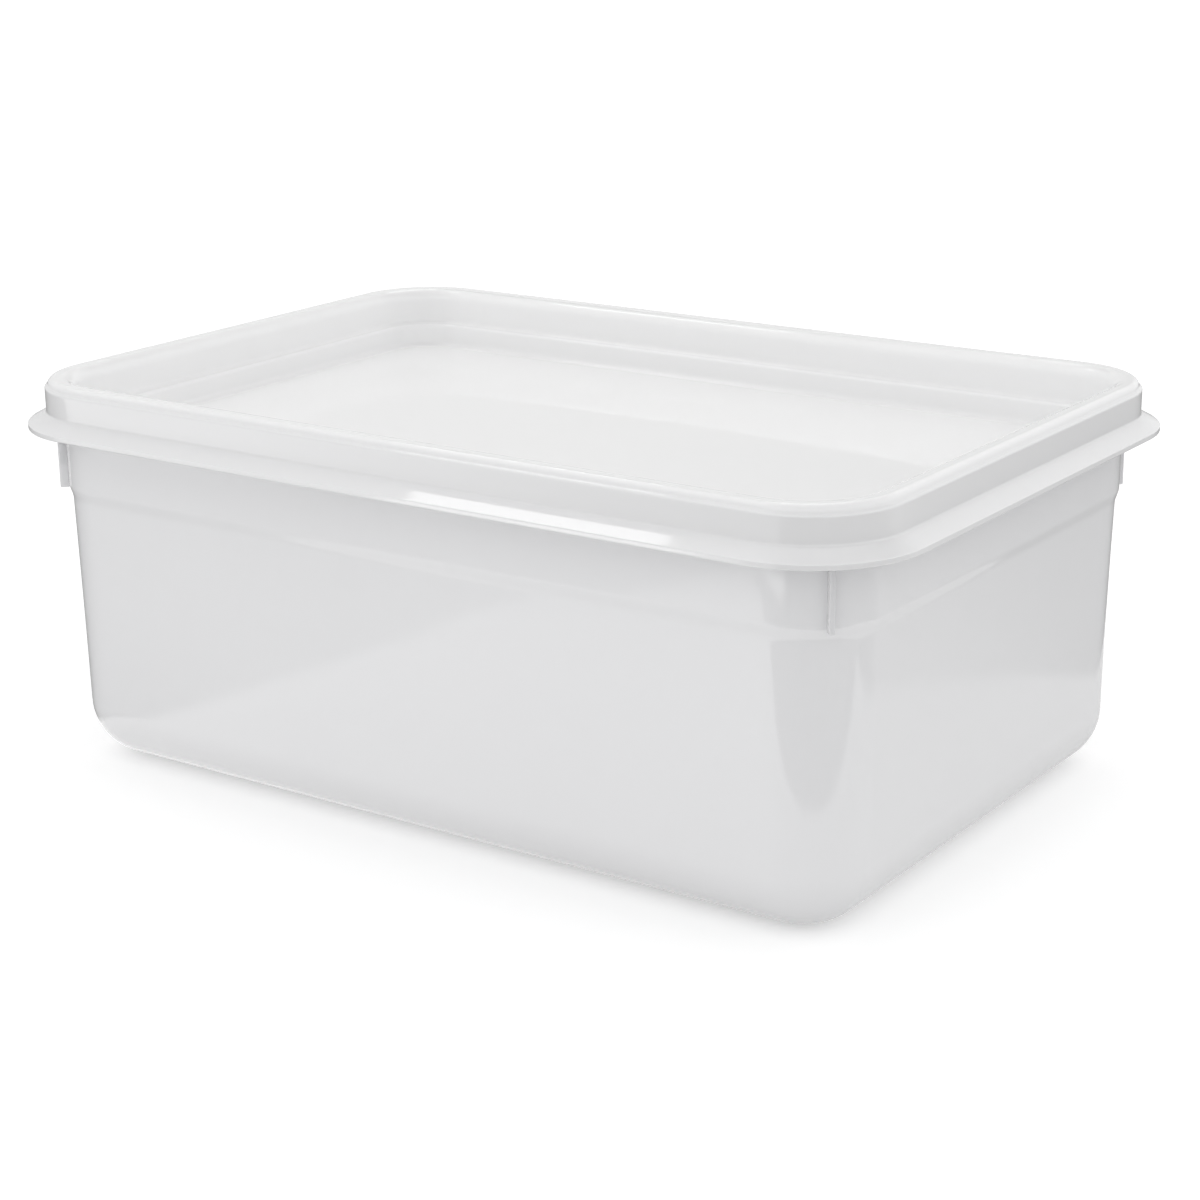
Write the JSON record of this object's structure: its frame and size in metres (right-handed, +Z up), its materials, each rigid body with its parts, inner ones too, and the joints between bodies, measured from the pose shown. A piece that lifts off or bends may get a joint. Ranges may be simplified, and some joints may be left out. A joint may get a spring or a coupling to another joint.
{
  "type": "ice cream tub",
  "caption": "Rectangular translucent plastic ice cream tub with rounded corners and a press-on lid with a flared lip and a recessed panel, for freezing and storing food.",
  "frame": {"origin": "centre of the base, on the surface the tub stands on", "axes": "+X along the long side, +Y along the short side, +Z up from the base to the lid"},
  "size_m": [0.23, 0.158, 0.0922],
  "materials": {
    "tub_plastic": "natural translucent polypropylene, satin outside",
    "lid_plastic": "whiter, slightly translucent polypropylene, smooth with soft gloss"
  },
  "bodies": {
    "root": {"tub": "tub_plastic", "lid": "lid_plastic"}
  },
  "joints": []
}
